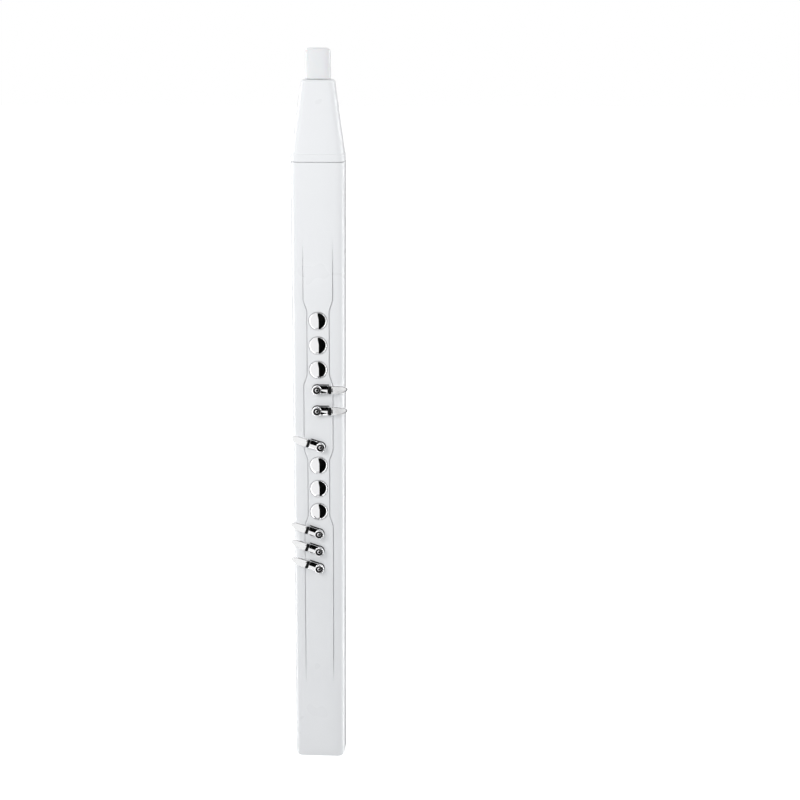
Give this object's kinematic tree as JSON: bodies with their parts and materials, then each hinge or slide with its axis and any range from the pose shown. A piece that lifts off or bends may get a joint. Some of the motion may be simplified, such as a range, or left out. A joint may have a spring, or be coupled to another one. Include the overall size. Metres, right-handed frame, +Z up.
{
  "type": "digital wind controller",
  "caption": "Upright electronic wind instrument: key-studded tube with tapered head and mouthpiece, display, rollers, thumb hook, bend wheel and loudspeaker on its back.",
  "frame": {"origin": "on the flat foot face, on the axis of the tube", "axes": "+Z up the tube to the mouthpiece, the finger keys face -Y, +X to the right of someone looking at the keys"},
  "size_m": [0.0489, 0.0519, 0.62],
  "materials": {
    "white_case": "gloss white",
    "black_case": "satin black",
    "black_gloss": "gloss black",
    "chrome": "polished",
    "steel": "satin",
    "grey_plastic": "matt grey",
    "dark_window": "clear gloss over black",
    "board": "green",
    "cell": "blue sleeve",
    "cone": "paper",
    "tube_rubber": "translucent"
  },
  "bodies": {
    "case": {"front_shell": "white_case", "rear_shell": "black_case", "head_front": "white_case", "head_rear": "black_gloss", "display_window": "dark_window", "display_module": "board", "roller_cradle": "black_case", "thumb_plate_right": "steel", "thumb_plate_left": "steel", "thumb_hook": "black_gloss", "hook_screw_upper": "chrome", "hook_screw_lower": "chrome", "battery": "cell", "speaker_grille": "black_case", "speaker": "cone", "main_board": "board", "key_board": "board", "breath_sensor": "grey_plastic", "breath_pipe": "tube_rubber", "usb_socket": "steel", "phone_socket": "black_case", "side_key_mount_1": "chrome", "side_key_mount_2": "chrome", "side_key_mount_3": "chrome", "side_key_mount_4": "chrome", "side_key_mount_5": "chrome", "side_key_mount_6": "chrome", "side_key_screw_1": "chrome", "side_key_screw_2": "chrome", "side_key_screw_3": "chrome", "side_key_screw_4": "chrome", "side_key_screw_5": "chrome", "side_key_screw_6": "chrome"},
    "mouthpiece": {"mouthpiece": "white_case"},
    "battery_cover": {"battery_cover": "black_case"},
    "bend_wheel": {"bend_wheel": "chrome"},
    "finger_key_1": {"finger_key_1": "chrome"},
    "finger_key_2": {"finger_key_2": "chrome"},
    "finger_key_3": {"finger_key_3": "chrome"},
    "finger_key_4": {"finger_key_4": "chrome"},
    "finger_key_5": {"finger_key_5": "chrome"},
    "finger_key_6": {"finger_key_6": "chrome"},
    "side_key_1": {"side_key_1": "steel"},
    "side_key_2": {"side_key_2": "steel"},
    "side_key_3": {"side_key_3": "steel"},
    "side_key_4": {"side_key_4": "steel"},
    "side_key_5": {"side_key_5": "steel"},
    "side_key_6": {"side_key_6": "steel"},
    "function_button_1": {"function_button_1": "grey_plastic"},
    "function_button_2": {"function_button_2": "grey_plastic"},
    "function_button_3": {"function_button_3": "grey_plastic"},
    "function_button_4": {"function_button_4": "grey_plastic"},
    "function_button_5": {"function_button_5": "grey_plastic"},
    "function_button_6": {"function_button_6": "grey_plastic"},
    "octave_roller_1": {"octave_roller_1": "chrome"},
    "octave_roller_2": {"octave_roller_2": "chrome"},
    "octave_roller_3": {"octave_roller_3": "chrome"},
    "octave_roller_4": {"octave_roller_4": "chrome"},
    "octave_roller_5": {"octave_roller_5": "chrome"},
    "octave_roller_6": {"octave_roller_6": "chrome"}
  },
  "joints": [
    {"name": "mouthpiece_pull", "type": "slide", "parent": "case", "child": "mouthpiece", "axis": [0, 0, 1], "range_m": [0, 0.012]},
    {"name": "cover_lift", "type": "slide", "parent": "case", "child": "battery_cover", "axis": [0, 1, 0], "range_m": [0, 0.02]},
    {"name": "bend_turn", "type": "hinge", "parent": "case", "child": "bend_wheel", "pos_m": [0, -0.0022, 0.2426], "axis": [1, 0, 0], "range_deg": [-18, 18], "stiffness_Nm_per_rad": 0.3},
    {"name": "finger_key_1_press", "type": "slide", "parent": "case", "child": "finger_key_1", "axis": [0, 1, 0], "range_m": [0, 0.0012], "stiffness_N_per_m": 300},
    {"name": "finger_key_2_press", "type": "slide", "parent": "case", "child": "finger_key_2", "axis": [0, 1, 0], "range_m": [0, 0.0012], "stiffness_N_per_m": 300},
    {"name": "finger_key_3_press", "type": "slide", "parent": "case", "child": "finger_key_3", "axis": [0, 1, 0], "range_m": [0, 0.0012], "stiffness_N_per_m": 300},
    {"name": "finger_key_4_press", "type": "slide", "parent": "case", "child": "finger_key_4", "axis": [0, 1, 0], "range_m": [0, 0.0012], "stiffness_N_per_m": 300},
    {"name": "finger_key_5_press", "type": "slide", "parent": "case", "child": "finger_key_5", "axis": [0, 1, 0], "range_m": [0, 0.0012], "stiffness_N_per_m": 300},
    {"name": "finger_key_6_press", "type": "slide", "parent": "case", "child": "finger_key_6", "axis": [0, 1, 0], "range_m": [0, 0.0012], "stiffness_N_per_m": 300},
    {"name": "side_key_1_press", "type": "hinge", "parent": "case", "child": "side_key_1", "pos_m": [0.0072, -0.022, 0.3419], "axis": [0, 0, 1], "range_deg": [0, 5], "stiffness_Nm_per_rad": 0.1},
    {"name": "side_key_2_press", "type": "hinge", "parent": "case", "child": "side_key_2", "pos_m": [0.0072, -0.022, 0.3235], "axis": [0, 0, 1], "range_deg": [0, 5], "stiffness_Nm_per_rad": 0.1},
    {"name": "side_key_3_press", "type": "hinge", "parent": "case", "child": "side_key_3", "pos_m": [-0.00603, -0.022, 0.29424], "axis": [-0.2974, 0, -0.9548], "range_deg": [0, 5], "stiffness_Nm_per_rad": 0.1},
    {"name": "side_key_4_press", "type": "hinge", "parent": "case", "child": "side_key_4", "pos_m": [-0.00755, -0.022, 0.21637], "axis": [-0.3256, 0, -0.9455], "range_deg": [0, 5], "stiffness_Nm_per_rad": 0.1},
    {"name": "side_key_5_press", "type": "hinge", "parent": "case", "child": "side_key_5", "pos_m": [-0.00755, -0.022, 0.20047], "axis": [-0.3256, 0, -0.9455], "range_deg": [0, 5], "stiffness_Nm_per_rad": 0.1},
    {"name": "side_key_6_press", "type": "hinge", "parent": "case", "child": "side_key_6", "pos_m": [-0.00755, -0.022, 0.18457], "axis": [-0.3256, 0, -0.9455], "range_deg": [0, 5], "stiffness_Nm_per_rad": 0.1},
    {"name": "function_button_1_press", "type": "slide", "parent": "case", "child": "function_button_1", "axis": [0, -1, 0], "range_m": [0, 0.0006], "stiffness_N_per_m": 400},
    {"name": "function_button_2_press", "type": "slide", "parent": "case", "child": "function_button_2", "axis": [0, -1, 0], "range_m": [0, 0.0006], "stiffness_N_per_m": 400},
    {"name": "function_button_3_press", "type": "slide", "parent": "case", "child": "function_button_3", "axis": [0, -1, 0], "range_m": [0, 0.0006], "stiffness_N_per_m": 400},
    {"name": "function_button_4_press", "type": "slide", "parent": "case", "child": "function_button_4", "axis": [0, -1, 0], "range_m": [0, 0.0006], "stiffness_N_per_m": 400},
    {"name": "function_button_5_press", "type": "slide", "parent": "case", "child": "function_button_5", "axis": [0, -1, 0], "range_m": [0, 0.0006], "stiffness_N_per_m": 400},
    {"name": "function_button_6_press", "type": "slide", "parent": "case", "child": "function_button_6", "axis": [0, -1, 0], "range_m": [0, 0.0006], "stiffness_N_per_m": 400},
    {"name": "octave_roller_1_spin", "type": "hinge", "parent": "case", "child": "octave_roller_1", "pos_m": [0, 0.0166, 0.4141], "axis": [1, 0, 0], "continuous": true},
    {"name": "octave_roller_2_spin", "type": "hinge", "parent": "case", "child": "octave_roller_2", "pos_m": [0, 0.0166, 0.40364], "axis": [1, 0, 0], "continuous": true},
    {"name": "octave_roller_3_spin", "type": "hinge", "parent": "case", "child": "octave_roller_3", "pos_m": [0, 0.0166, 0.39318], "axis": [1, 0, 0], "continuous": true},
    {"name": "octave_roller_4_spin", "type": "hinge", "parent": "case", "child": "octave_roller_4", "pos_m": [0, 0.0166, 0.38272], "axis": [1, 0, 0], "continuous": true},
    {"name": "octave_roller_5_spin", "type": "hinge", "parent": "case", "child": "octave_roller_5", "pos_m": [0, 0.0166, 0.37226], "axis": [1, 0, 0], "continuous": true},
    {"name": "octave_roller_6_spin", "type": "hinge", "parent": "case", "child": "octave_roller_6", "pos_m": [0, 0.0166, 0.3618], "axis": [1, 0, 0], "continuous": true}
  ]
}
